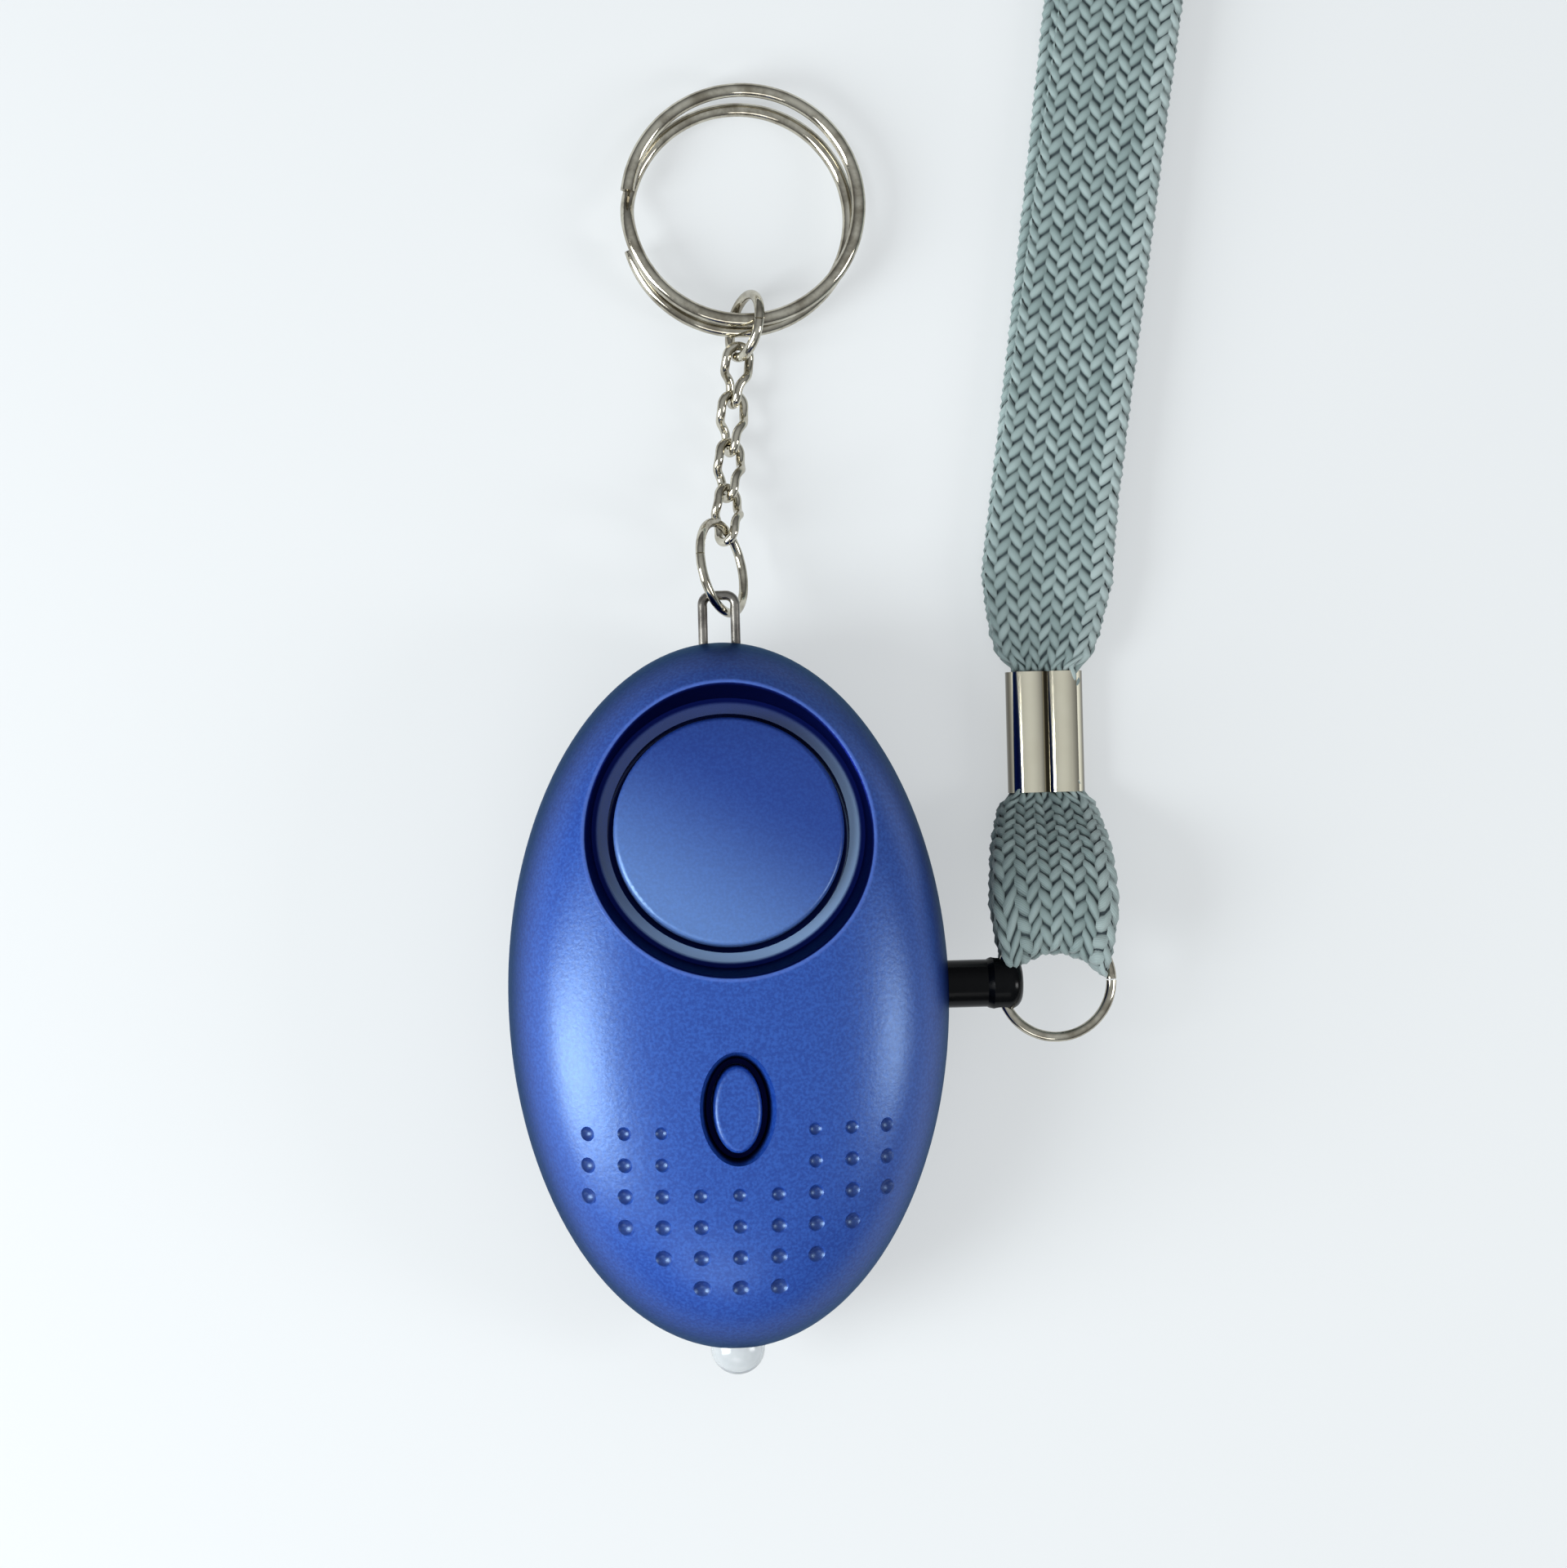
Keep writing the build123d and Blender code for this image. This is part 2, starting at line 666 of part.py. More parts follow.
def small_parts():
    """Chip resistors and capacitors on the board: a group of separate solids."""
    height = (board_z + board_thickness, board_z + board_thickness + small_part_height)
    pieces = []
    for x, y in small_part_places:
        y_ends = span(button_y + y, small_part_length)
        pieces.append(block(span(x, small_part_width), y_ends, height).solid())
    return Compound(children=pieces)


def led_leads():
    """Two wires from the back of the lamp, bent up into the board."""
    leads = []
    for x in span(0, lead_pitch):
        path = FilletPolyline(
            (x, led_back_y, part_z), (x, lead_turn_y, part_z), (x, lead_turn_y, board_z), radius=lead_bend,
        )
        leads.append(wire_along(path, lead_radius).solid())
    return Compound(children=leads)


def piezo_leads():
    """Two insulated wires from the piezo disc to the edge of the board."""
    end_y = board_end_y - peg_radius
    low_z = board_z - lead_pitch
    wires = []
    for x in (-lead_pitch, lead_pitch):
        start = (speaker * Pos(x, -ceramic_radius / 2, ceramic_bottom - lead_radius)).position
        drop = (x, start.Y - lead_pitch, low_z)
        path = FilletPolyline((x, start.Y, start.Z), drop, (x, end_y, low_z), (x, end_y, board_z), radius=lead_bend)
        wires.append(wire_along(path, lead_radius).solid())
    return Compound(children=wires)


def pull_socket():
    """The moulded block that guides the pull pin."""
    body = block((socket_start_x, socket_end_x), span(plug_y, socket_width), span(part_z, socket_height))
    body = chamfer(body.edges().filter_by(Axis.X), socket_chamfer)
    return body - across_x(pin_radius + pin_gap, socket_start_x - overrun, socket_end_x + overrun, plug_y, part_z)


def socket_leaves():
    """Two contact leaves on the end of the socket, one each side of the pin, with tails up to the board."""
    x = (socket_start_x - leaf_thickness, socket_start_x)
    leaves = []
    for side in (-1, 1):
        middle = plug_y + side * (pin_radius + leaf_width / 2)
        leaves.append(block(x, span(middle, leaf_width), (leaf_foot_z, board_z)).solid())
    return Compound(children=leaves)


def pull_plug():
    """The moulded pull grip: a plain stem, a fuller rounded head and the flared eye for the strap ring."""
    profile = Polyline(
        (plug_nose_x, 0), (plug_nose_x, plug_radius), (plug_head_start_x, plug_radius),
        (plug_head_start_x + plug_head_flare, plug_head_radius), (plug_tip_x, plug_head_radius),
        (plug_tip_x, 0), close=True,
    )
    grip = revolve(make_face(profile), Axis.X)
    grip = fillet(grip.edges().filter_by(GeomType.CIRCLE).sort_by(Axis.X)[-1], plug_head_fillet)
    grip = Pos(0, plug_y, part_z) * grip
    grip -= across_x(pin_radius + fit_gap / 2, plug_nose_x - overrun, pin_root_x + fit_gap, plug_y, part_z)
    eye_narrow = strap_ring_wire + plug_bore_gap
    eye_wide = eye_narrow + plug_head_radius ** 2 / (2 * strap_ring_radius)
    for side in (-1, 1):
        cone = Cone(eye_narrow, eye_wide, plug_head_radius, align=raised)
        grip -= Pos(plug_hole_x, plug_y, part_z) * Rot(-90 * side, 0, 0) * cone
    return grip


def plug_pin():
    pin = across_x(pin_radius, pin_tip_x, pin_root_x, plug_y, part_z)
    return fillet(pin.edges().sort_by(Axis.X)[0], pin_nose_fillet)


class Heading:
    """A direction in the chain: yaw from +Y towards +X, pitch up, and a roll about itself."""

    def __init__(self, yaw, pitch, roll=0):
        self.turn = Rot(0, 0, -yaw) * Rot(pitch, 0, 0) * Rot(0, roll, 0)

    def ahead(self, point, distance):
        return Vector(*point) + (self.turn * Pos(0, distance, 0)).position


def curb_link():
    """An oval link given a quarter twist, so that each end stands at 45 degrees and hooks the next one."""
    arc_radius = curb_width / 2 - curb_wire
    arc_y = curb_length / 2 - curb_wire - arc_radius
    ends = []
    for end in (1, -1):
        top = (0, end * (arc_y + arc_radius), 0)
        arc = ThreePointArc((arc_radius, end * arc_y, 0), top, (-arc_radius, end * arc_y, 0))
        ends.append(Rot(0, end * curb_twist, 0) * wire_along(arc, curb_wire))
    reach_x = arc_radius * cos(radians(curb_twist))
    reach_z = arc_radius * sin(radians(curb_twist))
    sides = []
    for side in (1, -1):
        start = (side * reach_x, arc_y, -side * reach_z)
        end = (side * reach_x, -arc_y, side * reach_z)
        path = Spline(start, (side * arc_radius, 0, 0), end, tangents=((0, -1, 0), (0, -1, 0)))
        sides.append(wire_along(path, curb_wire))
    return ends[0] + ends[1] + sides[0] + sides[1]


# Places of the chain's pieces: each one hangs on the wire before it
curb_half = curb_length / 2 - curb_wire
jump_heading = Heading(jump_yaw, jump_pitch, jump_roll)
hooks = [Vector(0, staple_reach, part_z)]
jump_start = jump_heading.ahead(hooks[0], -(staple_radius + jump_wire + chain_gap))
jump_middle = jump_heading.ahead(jump_start, jump_radius)
hooks.append(jump_heading.ahead(jump_start, 2 * jump_radius))
link_headings = [Heading(*heading) for heading in curb_headings]
link_middles = []
wire_before = jump_wire
for heading in link_headings:
    start = heading.ahead(hooks[-1], -(wire_before + curb_wire + chain_gap))
    link_middles.append(heading.ahead(start, curb_half))
    hooks.append(heading.ahead(start, 2 * curb_half))
    wire_before = curb_wire
ring_heading = Heading(ring_link_yaw, ring_link_pitch, ring_link_roll)
ring_link_start = ring_heading.ahead(hooks[-1], -(curb_wire + ring_link_wire + chain_gap))
ring_link_middle = ring_heading.ahead(ring_link_start, ring_link_radius)
ring_link_far = ring_heading.ahead(ring_link_start, 2 * ring_link_radius)
split_heading = Heading(0, split_pitch)
split_near = ring_link_far + Vector(*split_hang)
split_middle = split_heading.ahead(split_near, split_radius)


def jump_ring():
    shape = Rot(0, 0, jump_slit_turn) * ring(jump_radius, jump_wire, joint_slit)
    return Pos(*jump_middle) * jump_heading.turn * shape


def chain_link(index):
    return Pos(*link_middles[index]) * link_headings[index].turn * curb_link()


def ring_link():
    shape = Rot(0, 0, ring_link_slit_turn) * ring(ring_link_radius, ring_link_wire, joint_slit)
    return Pos(*ring_link_middle) * ring_heading.turn * shape


split_rise = split_wire + split_gap / 2
split_upper = Pos(0, 0, split_rise)
split_lower = Pos(-split_tuck, -split_shift, -split_rise)
split_low_radius = split_radius - split_tuck


def split_kink():
    """The climb of the split ring's wire from its lower turn to its upper one."""
    a = radians(split_kink_start)
    b = radians(split_kink_end)
    start = (split_lower * Pos(split_low_radius * cos(a), split_low_radius * sin(a))).position
    end = (split_upper * Pos(split_radius * cos(b), split_radius * sin(b))).position
    return Spline(start, end, tangents=((-sin(a), cos(a), 0), (-sin(b), cos(b), 0)))


def split_turn(place, radius, end):
    """One turn of the split ring, from the end of the kink round to where it stops."""
    section = Plane.XZ * Pos(radius, 0) * Circle(split_wire)
    return place * Rot(0, 0, split_kink_end) * revolve(section, Axis.Z, end + 360 - split_kink_end)


def split_ring():
    """Two stacked turns of wire in one piece, sprung a little apart, with the kink that joins them."""
    lower = split_turn(split_lower, split_low_radius, split_kink_start)
    upper = split_turn(split_upper, split_radius, split_cut)
    wire = lower + wire_along(split_kink(), split_wire) + upper
    return Pos(*split_middle) * split_heading.turn * wire


def split_least_gap():
    """The least room between two stretches of the split ring's wire, on points along its middle line."""
    turns = []
    for place, radius, end in (
        (split_lower, split_low_radius, split_kink_start), (split_upper, split_radius, split_cut),
    ):
        arc = place * CenterArc((0, 0, 0), radius, split_kink_end, end + 360 - split_kink_end)
        turns.append([arc @ (index / split_points) for index in range(split_points + 1)])
    return min((a - b).length for a in turns[0] for b in turns[1]) - 2 * split_wire


def strap_ring():
    middle_x = plug_hole_x + strap_ring_radius
    return Pos(middle_x, plug_y, part_z) * ring(strap_ring_radius, strap_ring_wire, joint_slit)


def barrel_outline(inset=0):
    """The crimp's end view: two round barrels side by side."""
    radius = crimp_height / 2 - inset
    apart = (crimp_width - crimp_height) / 2
    return (Pos(apart, 0) * Circle(radius)) + (Pos(-apart, 0) * Circle(radius))


def crimp_run(outline, start_y, length):
    """An outline in the crimp's end view, run along Y."""
    plane = Plane(origin=(crimp_x, start_y, crimp_height / 2), x_dir=(1, 0, 0), z_dir=(0, 1, 0))
    return extrude(plane * outline, length)


def strap_crimp():
    sleeve = crimp_run(barrel_outline(), crimp_start_y, crimp_length)
    bore = crimp_run(barrel_outline(crimp_wall), crimp_start_y - overrun, crimp_length + 2 * overrun)
    return sleeve - bore


def corner_radii(points):
    """As large an arc at each corner as its two runs allow."""
    radii = []
    for before, here, after in zip(points, points[1:], points[2:]):
        first = Vector(*here) - Vector(*before)
        second = Vector(*after) - Vector(*here)
        turn = radians(first.get_angle(second))
        radii.append(corner_share * min(first.length, second.length) / tan(turn / 2))
    return radii


def strap_band(route, reach):
    """A flat band across X, of a generous width, that follows a route in the YZ plane."""
    points = [(crimp_x, y, z) for y, z in route]
    path = FilletPolyline(*points, radius=corner_radii(points))
    plane = Plane(origin=path @ 0, x_dir=(1, 0, 0), z_dir=path % 0)
    return sweep(plane * Rectangle(2 * reach, strap_thickness), path=path)


def plan_cut(left, right, low, high):
    """A block whose plan has curved sides through the given points."""
    sides = Spline(*left) + Spline(*right)
    face = make_face(sides + Line(left[-1], right[-1]) + Line(right[0], left[0]))
    return Pos(0, 0, low) * extrude(face, high - low)


def loop_width_at(y):
    for (y0, w0), (y1, w1) in zip(loop_widths, loop_widths[1:]):
        if y <= y1:
            return w0 + (w1 - w0) * (y - y0) / (y1 - y0)
    return loop_widths[-1][1]


def loop_plan(route, low, high):
    """The plan of one of the loop's layers, from the crimp to past the far fold."""
    stations = [(crimp_x + x, y) for x, y, _ in route]
    stations.append((stations[-1][0], stations[-1][1] + strap_width))
    left = [(x - loop_width_at(y) / 2, y) for x, y in stations]
    right = [(x + loop_width_at(y) / 2, y) for x, y in stations]
    return plan_cut(left, right, low, high)


def strap_loop():
    """The wrist loop: two layers from the crimp to the far fold, drawn in where the crimp holds them."""
    band = strap_band([(y, z) for _, y, z in loop_route], loop_route[loop_far_index][0] + strap_width)
    plan = loop_plan(loop_route[:loop_far_index + 1], -overrun, layer_split_z)
    plan += loop_plan(loop_route[:loop_far_index - 1:-1], layer_split_z, trim_height)
    core = crimp_run(barrel_outline(crimp_wall), crimp_start_y + crimp_length / 2, crimp_length / 2)
    return (band & plan) + core


def ring_fold():
    """The strap end that goes round the ring: two layers from the crimp, joined by a gutter round the wire."""
    inner = strap_ring_wire + fold_gap
    outer = inner + strap_thickness
    middle = (inner + outer) / 2
    ring_x = plug_hole_x + strap_ring_radius
    root = crimp_start_y
    layers = []
    for z_end, z_root in ((part_z + middle, high_layer_z), (part_z - middle, low_layer_z)):
        route = ((root, z_root), (root - fold_root_flat, z_root), (fold_flat_y, z_end), (plug_y, z_end))
        layers.append(strap_band(route, fold_width))
    bottom = plug_y + strap_ring_radius * cos(radians(fold_half_angle))
    edges = []
    for side in (-1, 1):
        flat = (ring_x + side * fold_width / 2, fold_flat_y)
        tip = (ring_x + side * strap_ring_radius * sin(radians(fold_half_angle)), bottom)
        edges.append(((crimp_x + side * fold_root_width / 2, root), flat, tip))
    sheets = (layers[0] + layers[1]) & plan_cut(*edges, 0, crown_z)
    sheets -= upright(strap_ring_radius, 0, crown_z, ring_x, plug_y)
    section = Circle(outer) - Circle(inner)
    section &= Pos(-outer, 0) * Rectangle(2 * outer, 4 * outer)
    gutter = revolve(Plane.XZ * Pos(strap_ring_radius, 0) * section, Axis.Z, 2 * fold_half_angle)
    gutter = Pos(ring_x, plug_y, part_z) * Rot(0, 0, 90 - fold_half_angle) * gutter
    return sheets + gutter + crimp_run(barrel_outline(crimp_wall), crimp_start_y, crimp_length / 2)


pieces = {
    "front_shell": front_shell,
    "back_shell": back_shell,
    "speaker_cap": cap,
    "piezo_plate": piezo_plate,
    "piezo_ceramic": piezo_ceramic,
    "piezo_leads": piezo_leads,
    "light_button": light_button,
    "switch_body": switch_body,
    "switch_plunger": switch_plunger,
    "circuit_board": circuit_board,
    "siren_chip": siren_chip,
    "small_parts": small_parts,
    "coil_core": coil_core,
    "coil_winding": coil_winding,
    "led_lens": led_shape,
    "led_leads": led_leads,
    "pull_socket": pull_socket,
    "socket_leaves": socket_leaves,
    "cell_contact_left": lambda: cell_contact(-1),
    "cell_contact_right": lambda: cell_contact(1),
    "case_screw": case_screw,
    "chain_staple": lambda: staple(staple_radius),
    "jump_ring": jump_ring,
    "ring_link": ring_link,
    "split_ring": split_ring,
    "pull_plug": pull_plug,
    "plug_pin": plug_pin,
    "strap_ring": strap_ring,
    "strap_crimp": strap_crimp,
    "ring_fold": ring_fold,
    "strap_loop": strap_loop,
}
for number in range(cell_count):
    pieces[f"button_cell_{number + 1}"] = lambda index=number: cell(index)
for number in range(curb_count):
    pieces[f"chain_link_{number + 1}"] = lambda index=number: chain_link(index)

os.makedirs("parts", exist_ok=True)
for name, make in pieces.items():
    export_step(make(), f"parts/{name}.step")

print("split ring, least gap between its turns:", round(split_least_gap(), 2))
print("wrist loop arc radii:", [round(radius, 1) for radius in corner_radii(loop_route)])
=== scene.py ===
import bmesh
import bpy
import math
import random
from mathutils import Matrix, Vector


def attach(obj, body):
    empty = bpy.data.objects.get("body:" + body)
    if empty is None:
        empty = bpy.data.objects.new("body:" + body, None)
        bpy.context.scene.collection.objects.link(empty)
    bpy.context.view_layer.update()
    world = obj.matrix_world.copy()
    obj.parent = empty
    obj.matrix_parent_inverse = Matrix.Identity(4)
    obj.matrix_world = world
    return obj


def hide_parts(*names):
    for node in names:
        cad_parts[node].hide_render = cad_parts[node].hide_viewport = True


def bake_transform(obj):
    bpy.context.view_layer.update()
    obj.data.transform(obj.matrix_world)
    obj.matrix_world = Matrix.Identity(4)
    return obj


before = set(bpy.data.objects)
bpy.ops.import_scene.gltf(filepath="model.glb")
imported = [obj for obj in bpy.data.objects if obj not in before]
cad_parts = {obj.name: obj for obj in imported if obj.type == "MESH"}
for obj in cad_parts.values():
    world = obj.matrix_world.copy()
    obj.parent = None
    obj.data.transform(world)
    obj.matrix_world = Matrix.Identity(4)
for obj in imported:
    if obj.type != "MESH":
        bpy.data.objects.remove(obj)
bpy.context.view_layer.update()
scene = bpy.context.scene
draw = random.Random(7)

# Camera: above the table, a little to the left, with the body's long axis leaning a little in the picture
camera_place = Vector((-0.0159, 0.0193, 0.370))
camera_aim = Vector((0.00613, 0.01931, 0.0))
picture_up = Vector((0.0262, 0.9997, 0.0))
camera_lens = 89.8
camera_sensor = 36.0

# Wrist strap, from the part's own route, in metres: from the crimp along the table, round the far turn and back
loop_route = [
    (0.0310, 0.0293, 0.00120), (0.0311, 0.0345, 0.00110), (0.0318, 0.0420, 0.00100), (0.0334, 0.0540, 0.00104),
    (0.0356, 0.0700, 0.00097), (0.0386, 0.0930, 0.00104), (0.0417, 0.1150, 0.00097), (0.0444, 0.1300, 0.00104),
    (0.0460, 0.1385, 0.00098), (0.0472, 0.1450, 0.00108), (0.0481, 0.1515, 0.00104), (0.0487, 0.1554, 0.0016),
    (0.0489, 0.1567, 0.0024), (0.0489, 0.1568, 0.0033), (0.0489, 0.1566, 0.0042), (0.0486, 0.1552, 0.0050),
    (0.0481, 0.1513, 0.0052), (0.0472, 0.1450, 0.0045), (0.0463, 0.1380, 0.00315), (0.0450, 0.1270, 0.00290),
    (0.0423, 0.1070, 0.00296), (0.0391, 0.0880, 0.00288), (0.0363, 0.0700, 0.00296), (0.0338, 0.0540, 0.00288),
    (0.0320, 0.0430, 0.00294), (0.0312, 0.0355, 0.0029), (0.0310, 0.0293, 0.00300),
]
far_index = 13  # the point of the far turn, where the lower layer ends and the upper one starts

# The strap's short fold: out of the crimp, over the ring, round it and back in
fold_route = [
    (0.0309, 0.0191, 0.0029), (0.0309, 0.0179, 0.00300), (0.0309, 0.0160, 0.0034), (0.0306, 0.0122, 0.0082),
    (0.0304, 0.0086, 0.01085), (0.0304, 0.0058, 0.0111), (0.0304, 0.0038, 0.01085), (0.0304, 0.0038, 0.0081),
    (0.0304, 0.0058, 0.0079), (0.0304, 0.0086, 0.0081), (0.0306, 0.0125, 0.0052), (0.0309, 0.0160, 0.0013),
    (0.0309, 0.0179, 0.00120), (0.0309, 0.0191, 0.0013),
]

# Widths and thicknesses of the strap, as stops of (Y, value)
loop_widths = ((0.0, 0.0056), (0.0298, 0.0058), (0.0306, 0.0082), (0.0327, 0.0097), (0.038, 0.0118),
               (0.046, 0.0114), (0.056, 0.0112), (0.160, 0.0112))
fold_widths = ((0.0, 0.0086), (0.004, 0.0092), (0.0086, 0.0115), (0.0125, 0.0108), (0.0168, 0.0086),
               (0.0180, 0.0060), (0.030, 0.0058))
thicknesses = ((0.0, 0.0013), (0.0160, 0.0013), (0.0181, 0.0011), (0.0292, 0.0011), (0.0310, 0.0013),
               (0.160, 0.0013))

# Crimp, and the pinch that it leaves in the strap on both sides
crimp_x = 0.0309
crimp_start = 0.0179
crimp_end = 0.0293
strap_inside = 0.0012  # how far the strap is modelled into the crimp
lower_level = 0.00130
upper_level = 0.00290
crease_depth = 0.00055
crease_half_width = 0.0007
crease_reach = 0.0035

# Wire ring that the fold goes round
ring_middle = Vector((0.03038, 0.0004, 0.0095))
ring_radius = 0.00518
ring_share = 0.85  # of the radius, as far as the bend follows the arc
bend_start = 0.0125  # Y from which the fold takes the ring's arc
bend_length = 0.0075

# Braid: stacks of yarn floats side by side round a core coloured dark as painted shade
braid_stacks = 22
braid_pitch = 0.00152
core_sink = 0.00006
core_ring_share = 0.6  # of the pitch, from one ring of the core to the next
float_stops = (-1.0, -0.6, 0.0, 0.6, 1.0)
float_half_width = 0.60  # of a stack
float_half_length = 0.48  # of the pitch
float_lean = 0.36  # of the pitch, from a float's middle to its side
float_taper = 0.14
float_bulge = 0.00040
float_tuck = 0.00010  # how far its tips go down
float_crown_share = 0.75
float_swells = (0.85, 1.12)
float_skew = 0.05
yarn_tints = 64
yarn_half_width = 0.45  # of a float in its UV map
first_rows = (0.25, 0.75)  # of the pitch, for the stacks that lean one way and the other
pale_edge = 100  # added to the tint number of the floats of the pale edge
core_mark = -2  # the UV height that marks the core

# Speaker recess, in metres: its middle on the dome, its tilt, and the circles and heights where its parts begin
recess_y = 0.0151
recess_z = 0.0179
recess_tilt = math.radians(-10.5)
recess_flare = math.radians(25.0)
cap_reach = 0.0105
cap_edge = (0.01055, 0.01065)
cap_heights = (-0.0006, -0.0002)
gap_edge = (0.01085, 0.01095)
gap_heights = (-0.0008, -0.0002)
gap_floor = (0.0100, 0.0105)
ledge_reach = 0.0117
ledge_inner = (0.01075, 0.01090)
ledge_outer = (0.01170, 0.01205)
ledge_top = (0.0002, 0.0005)
wall_top = (0.0036, 0.0040)
rim_inner = (0.0124, 0.0125)
rim_outer = (0.0126, 0.0129)
rim_foot = (0.0001, 0.0004)

# Light button: the middle and half sizes of the pocket and of the key
button_y = -0.0096
pocket_half = (0.00285, 0.0046)
key_half = (0.00226, 0.00396)
pocket_edge = (0.98, 1.12)
key_edge = (0.985, 1.0)
pocket_floor = (0.0175, 0.0180)
pocket_brim = (0.0208, 0.0222)

# Grip dimples, as in the part
dimple_pitch_x = 0.0035
dimple_pitch_y = 0.00286
dimple_first_y = -0.0115
dimple_closing_share = 0.01
dimple_radius = 0.0005
dimple_edge = (0.72, 1.0)
dimple_column_step = 0.000045
dimple_row_step = 0.00006
dimple_rows = 6
dimple_columns = 5
dimple_corner = 7  # the first sum of row and column past the lower corners
rows_beside_key = 2
columns_beside_key = 2

flank_heights = (0.0118, 0.0190)  # between them the painted shade on the flank fades out toward the crown
front_heights = (0.0120, 0.0125)  # between them the painted shade in the dimples begins, above the parting line

floor_size = 3.0
floor_seen_share = 0.55  # of the floor's plain pale colour in what the camera, metal and glass see


def add_camera():
    data = bpy.data.cameras.new("camera")
    data.sensor_width = camera_sensor
    data.lens = camera_lens
    camera = bpy.data.objects.new("camera", data)
    scene.collection.objects.link(camera)
    forward = (camera_aim - camera_place).normalized()
    right = forward.cross(picture_up).normalized()
    turn = Matrix((right, right.cross(forward), -forward)).transposed()
    camera.matrix_world = Matrix.Translation(camera_place) @ turn.to_4x4()
    scene.camera = camera


class Line:
    """A smooth line through space with a frame along it, read from a spline."""

    def __init__(self, points, across):
        curve = bpy.data.curves.new("route", "CURVE")
        curve.dimensions = "3D"
        curve.resolution_u = 24
        spline = curve.splines.new("NURBS")
        spline.points.add(len(points) - 1)
        for point, place in zip(spline.points, points):
            point.co = (*place, 1.0)
        spline.order_u = 3
        spline.use_endpoint_u = True
        carrier = bpy.data.objects.new("route", curve)
        mesh = bpy.data.meshes.new_from_object(carrier)
        self.points = [vertex.co.copy() for vertex in mesh.vertices]
        bpy.data.objects.remove(carrier)
        bpy.data.curves.remove(curve)
        bpy.data.meshes.remove(mesh)
        self.along = [0.0]
        for a, b in zip(self.points, self.points[1:]):
            self.along.append(self.along[-1] + (b - a).length)
        self.length = self.along[-1]
        self.ahead, self.across = [], []
        last = len(self.points) - 1
        for i in range(last + 1):
            ahead = (self.points[min(i + 1, last)] - self.points[max(i - 1, 0)]).normalized()
            across = (across - across.dot(ahead) * ahead).normalized()
            self.ahead.append(ahead)
            self.across.append(across)

    def at(self, distance):
        """Place, side direction and outward direction at a distance along the line."""
        distance = min(max(distance, 0.0), self.length)
        low, high = 0, len(self.along) - 1
        while high - low > 1:
            middle = (low + high) // 2
            if self.along[middle] <= distance:
                low = middle
            else:
                high = middle
        share = (distance - self.along[low]) / (self.along[high] - self.along[low])
        place = self.points[low].lerp(self.points[high], share)
        ahead = self.ahead[low].lerp(self.ahead[high], share).normalized()
        across = self.across[low].lerp(self.across[high], share).normalized()
        return place, across, across.cross(ahead)


def between(stops, value):
    """A value read off a broken line."""
    for (x0, y0), (x1, y1) in zip(stops, stops[1:]):
        if value <= x1:
            return y0 + (y1 - y0) * (max(value, x0) - x0) / (x1 - x0)
    return stops[-1][1]


def stadium(share, width, thickness):
    """A point on a flat tube's outline and its outward direction."""
    flat = width - thickness
    radius = thickness / 2
    round_end = math.pi * radius
    run = (share % 1.0) * (2 * flat + 2 * round_end)
    if run < flat:
        return run - flat / 2, radius, 0.0, 1.0
    run -= flat
    if run < round_end:
        a = math.pi / 2 - run / radius
        return flat / 2 + radius * math.cos(a), radius * math.sin(a), math.cos(a), math.sin(a)
    run -= round_end
    if run < flat:
        return flat / 2 - run, -radius, 0.0, -1.0
    run -= flat
    a = -math.pi / 2 - run / radius
    return -flat / 2 + radius * math.cos(a), radius * math.sin(a), math.cos(a), math.sin(a)


def crease(x, y):
    """How deep the strap is pinched along its middle next to the crimp."""
    away = max(crimp_start - y, y - crimp_end, 0.0)
    return crease_depth * math.exp(-((x / crease_half_width) ** 2)) * math.exp(-away / crease_reach)


def lay(line, widths, share, distance, height):
    """The line's middle, and where a point of the braid's surface goes on a strap that lies along it."""
    middle, across, out = line.at(distance)
    thickness = between(thicknesses, middle.y)
    x, z, nx, nz = stadium(share, between(widths, middle.y), thickness)
    z -= math.copysign(crease(x, middle.y), z) if abs(z) > thickness / 3 else 0.0
    return middle, middle + across * (x + nx * height) + out * (z + nz * height)


def on_loop(line, share, distance, height):
    return lay(line, loop_widths, share, distance, height)[1]


def on_fold(line, share, distance, height):
    """As on the loop, but the bend follows the ring's arc."""
    middle, point = lay(line, fold_widths, share, distance, height)
    reach = min(abs(point.x - ring_middle.x), ring_share * ring_radius)
    sag = ring_radius - math.sqrt(ring_radius ** 2 - reach ** 2)
    near = min(max((bend_start - middle.y) / bend_length, 0.0), 1.0)
    point.y -= sag * near * near * (3 - 2 * near)
    return point


def add_face(mesh, corners, uvs):
    made = mesh.faces.new(corners)
    made.smooth = True
    for loop, uv in zip(made.loops, uvs):
        loop[mesh.loops.layers.uv["yarn"]].uv = uv


def braid_core(mesh, line, place):
    """The tube under the floats, dark with painted shade where it shows between them, closed at both ends."""
    marks = [(0, core_mark)] * braid_stacks
    count = max(8, round(line.length / (braid_pitch * core_ring_share)))
    rings = []
    for i in range(count + 1):
        distance = line.length * i / count
        ring = [place(line, k / braid_stacks, distance, -core_sink) for k in range(braid_stacks)]
        rings.append([mesh.verts.new(point) for point in ring])
    for a, b in zip(rings, rings[1:]):
        for k in range(braid_stacks):
            n = (k + 1) % braid_stacks
            add_face(mesh, (a[k], a[n], b[n], b[k]), marks[:4])
    add_face(mesh, rings[0][::-1], marks)
    add_face(mesh, rings[-1], marks)


